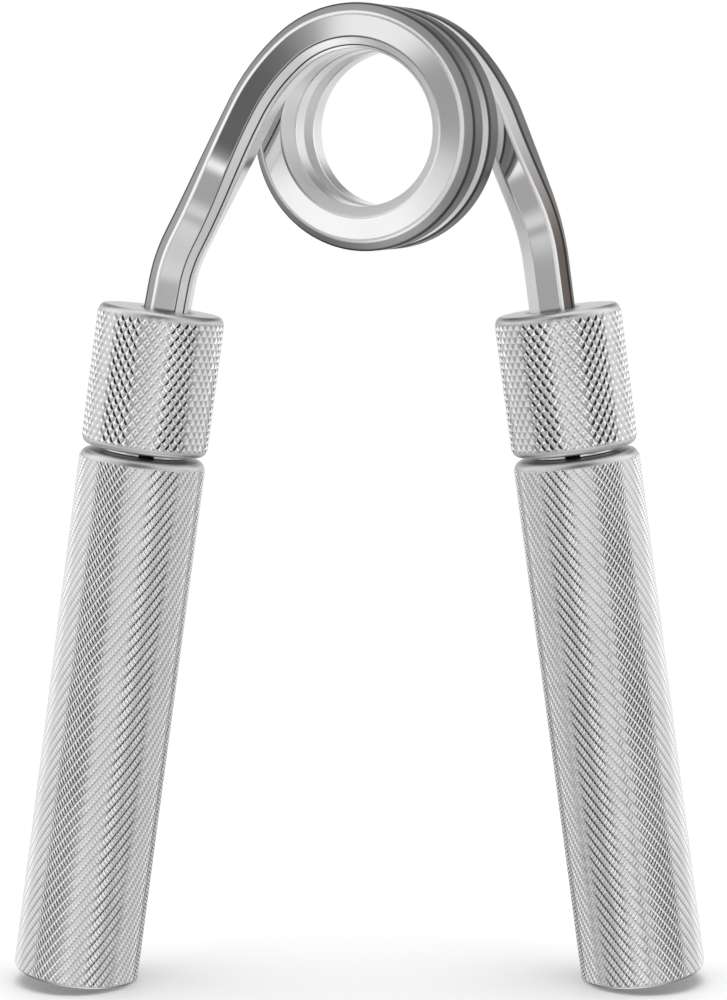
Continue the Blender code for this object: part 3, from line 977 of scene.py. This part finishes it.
def turned_metal(name, dark, light, rough_low, rough_high):
    """A turned metal with fine tool marks round its axis."""
    made, nodes, links, shader = new_metal(name, light, rough_low)
    turning = noise(nodes, links, "lathe_place", (TOOL_MARKS, TOOL_MARKS, 1.0))
    links.new(tinted(nodes, links, turning, dark, light), shader.inputs["Base Color"])
    links.new(ranged(nodes, links, turning, rough_low, rough_high), shader.inputs["Roughness"])
    bumped(nodes, links, shader, turning, TURNED_TOOL_MARKS, TOOL_MARK_BUMP)
    return made


def plain_metal(name, dark, light, rough_low, rough_high, grain):
    """A metal for the pieces inside the handles, with a fine grain."""
    made, nodes, links, shader = new_metal(name, light, rough_low)
    speckle = noise(nodes, links, "object", (grain, grain, grain), 3.0)
    links.new(tinted(nodes, links, speckle, dark, light), shader.inputs["Base Color"])
    links.new(ranged(nodes, links, speckle, rough_low, rough_high), shader.inputs["Roughness"])
    bumped(nodes, links, shader, speckle, GRAIN_STRENGTH, GRAIN_BUMP)
    return made


# ---------------------------------------------------------------- studio

# The floor fades out between these distances from the origin.
FLOOR_RADIUS = 600.0
FLOOR_SIDES = 64
FLOOR_FADE = (120.0, 450.0)
FLOOR_COLOUR = (0.92, 0.92, 0.92)

LAMP_SIZE = 1200.0
LAMP_HEIGHT = 1200.0
LAMP_POWER = 8.0

# The camera's place is to the right of the origin, in front of it, and below the coil's centre. Its tilt, in
# degrees, is downwards.
CAMERA_LENS = 102.0
CAMERA_SENSOR = 36.0
CAMERA_RIGHT = 0.72
CAMERA_FRONT = 506.0
CAMERA_BELOW_COIL = 3.34
CAMERA_TILT = 7.1


def build_floor():
    """Plain pale floor, which fades into the backdrop."""
    bm = bmesh.new()
    bmesh.ops.create_circle(bm, cap_ends=True, segments=FLOOR_SIDES, radius=FLOOR_RADIUS * MM)
    mesh = bpy.data.meshes.new("floor")
    bm.to_mesh(mesh)
    bm.free()
    floor = bpy.data.objects.new("floor", mesh)
    bpy.context.scene.collection.objects.link(floor)
    floor.location.z = cad_low.z
    made = bpy.data.materials.new("pale_floor")
    made.use_nodes = True
    nodes, links = made.node_tree.nodes, made.node_tree.links
    nodes.clear()
    output = nodes.new("ShaderNodeOutputMaterial")
    diffuse = nodes.new("ShaderNodeBsdfDiffuse")
    diffuse.inputs["Color"].default_value = (*FLOOR_COLOUR, 1.0)
    clear = nodes.new("ShaderNodeBsdfTransparent")
    mix = nodes.new("ShaderNodeMixShader")
    coordinates = nodes.new("ShaderNodeTexCoord")
    length = nodes.new("ShaderNodeVectorMath")
    length.operation = "LENGTH"
    links.new(coordinates.outputs["Object"], length.inputs[0])
    fade = nodes.new("ShaderNodeMapRange")
    fade.interpolation_type = "SMOOTHSTEP"
    fade.inputs["From Min"].default_value = FLOOR_FADE[0] * MM
    fade.inputs["From Max"].default_value = FLOOR_FADE[1] * MM
    links.new(length.outputs["Value"], fade.inputs["Value"])
    links.new(fade.outputs["Result"], mix.inputs["Fac"])
    links.new(diffuse.outputs["BSDF"], mix.inputs[1])
    links.new(clear.outputs["BSDF"], mix.inputs[2])
    links.new(mix.outputs["Shader"], output.inputs["Surface"])
    mesh.materials.append(made)
    floor.visible_glossy = False


# Panels of the studio round the object: (azimuth from the front towards the left of the picture, elevation,
# half width, half height, softness, lean, brightness), in degrees. Later ones cover earlier ones. A panel's
# lean is how far it shifts to the left for each degree of elevation.
STUDIO_BASE = 1.0
STUDIO_PANELS = (
    (0.0, 88.0, 400.0, 24.0, 8.0, 0.0, 1.15),
    (0.0, -88.0, 400.0, 24.0, 8.0, 0.0, 1.5),
    (0.0, -48.0, 400.0, 16.0, 8.0, 0.0, 0.42),
    (138.0, 36.0, 32.0, 16.0, 7.0, 0.0, 0.02),
    (-138.0, 36.0, 32.0, 16.0, 7.0, 0.0, 0.02),
    (138.0, -45.0, 32.0, 15.0, 7.0, 0.0, 0.05),
    (-138.0, -45.0, 32.0, 15.0, 7.0, 0.0, 0.05),
    (148.0, -5.0, 26.0, 18.0, 6.0, 0.0, 0.62),
    (-148.0, -5.0, 26.0, 18.0, 6.0, 0.0, 0.80),
    (112.0, -18.0, 20.0, 10.0, 8.0, 0.0, 0.62),
    (-112.0, -18.0, 20.0, 10.0, 8.0, 0.0, 0.62),
    (76.0, -19.0, 15.0, 8.0, 6.0, 0.0, 0.35),
    (-76.0, -19.0, 15.0, 8.0, 6.0, 0.0, 0.35),
    (0.0, -12.0, 26.0, 12.0, 8.0, 0.0, 0.98),
    (98.0, 26.0, 28.0, 26.0, 10.0, 0.0, 1.30),
    (-98.0, 26.0, 28.0, 26.0, 10.0, 0.0, 1.30),
    (55.0, 28.0, 22.0, 24.0, 10.0, 0.0, 0.80),
    (-55.0, 28.0, 22.0, 24.0, 10.0, 0.0, 0.80),
    (0.0, 36.5, 31.0, 28.5, 5.0, 0.0, 0.02),
    (-20.0, 3.0, 22.0, 9.0, 4.0, 0.0, 1.10),
    (-46.0, -5.0, 14.0, 9.0, 5.0, 0.0, 0.36),
    (46.0, -15.0, 14.0, 8.0, 4.0, 0.0, 0.36),
    (30.0, 0.0, 24.0, 11.0, 4.0, 0.0, 0.50),
    (16.0, 0.6, 4.0, 3.4, 2.2, 0.0, 0.94),
    (15.7, -0.7, 0.9, 0.8, 0.6, 0.0, 0.33),
    (34.5, 0.0, 1.8, 4.8, 1.6, 0.0, 1.30),
    (52.0, 0.0, 7.0, 8.0, 3.0, 0.3, 1.32),
    (40.2, 8.5, 3.6, 8.0, 2.2, 0.15, 0.14),
    (40.2, -8.0, 3.2, 8.5, 2.2, 0.15, 0.46),
)
BACKDROP = 1.0


def build_studio():
    """Soft studio light as a world: bright panels with darker gaps between them, and a white backdrop."""
    world = bpy.data.worlds.new("studio")
    bpy.context.scene.world = world
    world.use_nodes = True
    nodes, links = world.node_tree.nodes, world.node_tree.links
    nodes.clear()

    def math_node(operation, first, second=None):
        node = nodes.new("ShaderNodeMath")
        node.operation = operation
        for socket, value in zip(node.inputs, (first, second)):
            if value is None:
                continue
            if isinstance(value, float):
                socket.default_value = value
            else:
                links.new(value, socket)
        return node.outputs[0]

    direction = nodes.new("ShaderNodeTexCoord").outputs["Generated"]
    split = nodes.new("ShaderNodeSeparateXYZ")
    links.new(direction, split.inputs[0])
    to_degrees = 180.0 / math.pi
    left = math_node("MULTIPLY", split.outputs["X"], -1.0)
    front = math_node("MULTIPLY", split.outputs["Y"], -1.0)
    azimuth = math_node("MULTIPLY", math_node("ARCTAN2", left, front), to_degrees)
    elevation = math_node("MULTIPLY", math_node("ARCSINE", split.outputs["Z"]), to_degrees)

    def inside(value, centre, half, softness):
        away = math_node("ABSOLUTE", math_node("SUBTRACT", value, centre))
        edge = nodes.new("ShaderNodeMapRange")
        edge.interpolation_type = "SMOOTHSTEP"
        edge.inputs["From Min"].default_value = half + softness
        edge.inputs["From Max"].default_value = half - softness
        links.new(away, edge.inputs["Value"])
        return edge.outputs["Result"]

    brightness = None
    for centre, height, half_width, half_height, softness, lean, value in STUDIO_PANELS:
        leaning = math_node("SUBTRACT", azimuth, math_node("MULTIPLY", elevation, lean))
        mask = math_node(
            "MULTIPLY",
            inside(leaning, centre, half_width, softness),
            inside(elevation, height, half_height, softness),
        )
        mix = nodes.new("ShaderNodeMix")
        mix.inputs["B"].default_value = value
        links.new(mask, mix.inputs["Factor"])
        if brightness is None:
            mix.inputs["A"].default_value = STUDIO_BASE
        else:
            links.new(brightness, mix.inputs["A"])
        brightness = mix.outputs["Result"]

    studio = nodes.new("ShaderNodeBackground")
    links.new(brightness, studio.inputs["Strength"])
    backdrop = nodes.new("ShaderNodeBackground")
    backdrop.inputs["Strength"].default_value = BACKDROP
    for background in (studio, backdrop):
        background.inputs["Color"].default_value = (1.0, 1.0, 1.0, 1.0)
    choose = nodes.new("ShaderNodeMixShader")
    links.new(nodes.new("ShaderNodeLightPath").outputs["Is Camera Ray"], choose.inputs["Fac"])
    links.new(studio.outputs["Background"], choose.inputs[1])
    links.new(backdrop.outputs["Background"], choose.inputs[2])
    output = nodes.new("ShaderNodeOutputWorld")
    links.new(choose.outputs["Shader"], output.inputs["Surface"])


def build_lamp():
    """Broad soft lamp overhead, which lights the floor and is not reflected in the metal."""
    data = bpy.data.lights.new("overhead", "AREA")
    data.shape = "DISK"
    data.size = LAMP_SIZE * MM
    data.energy = LAMP_POWER
    lamp = bpy.data.objects.new("overhead", data)
    bpy.context.scene.collection.objects.link(lamp)
    lamp.location = (0.0, 0.0, LAMP_HEIGHT * MM)
    lamp.visible_glossy = False
    lamp.visible_camera = False


def build_camera():
    """A long lens in front, at about the height of the coil's centre, looking slightly down."""
    data = bpy.data.cameras.new("camera")
    data.lens = CAMERA_LENS
    data.sensor_width = CAMERA_SENSOR
    camera = bpy.data.objects.new("camera", data)
    bpy.context.scene.collection.objects.link(camera)
    camera.location = Vector((CAMERA_RIGHT, -CAMERA_FRONT, COIL_CENTRE.z - CAMERA_BELOW_COIL)) * MM
    camera.rotation_euler = (math.radians(90.0 - CAMERA_TILT), 0.0, 0.0)
    bpy.context.scene.camera = camera


# ---------------------------------------------------------------- everything together


def build_object():
    build_spring(polished_steel())
    collar_metal = knurled_aluminium("knurled_collar_aluminium")
    grip_metal = knurled_aluminium("knurled_grip_aluminium")
    cap_metal = turned_metal("turned_cap_aluminium", (0.66, 0.66, 0.67), (0.78, 0.78, 0.78), 0.22, 0.34)
    ring_metal = turned_metal("ring_steel", (0.84, 0.84, 0.85), (0.92, 0.92, 0.93), 0.20, 0.30)
    inside = {name: plain_metal(name, *look) for name, look in INSIDE_METALS.items()}
    for side_name, side in SIDES.items():
        collar(side_name, side, collar_metal)
        grip_sleeve(side_name, side, grip_metal)
        retaining_ring(side_name, side, ring_metal)
        end_cap(side_name, cap_metal)
        for piece, metal in INSIDE_PIECES.items():
            materials = frame["nodes"][f"{piece}_{side_name}"].data.materials
            materials.clear()
            materials.append(inside[metal])


build_camera()
build_studio()
build_floor()
build_lamp()
build_object()
bpy.context.scene.view_settings.view_transform = "Standard"
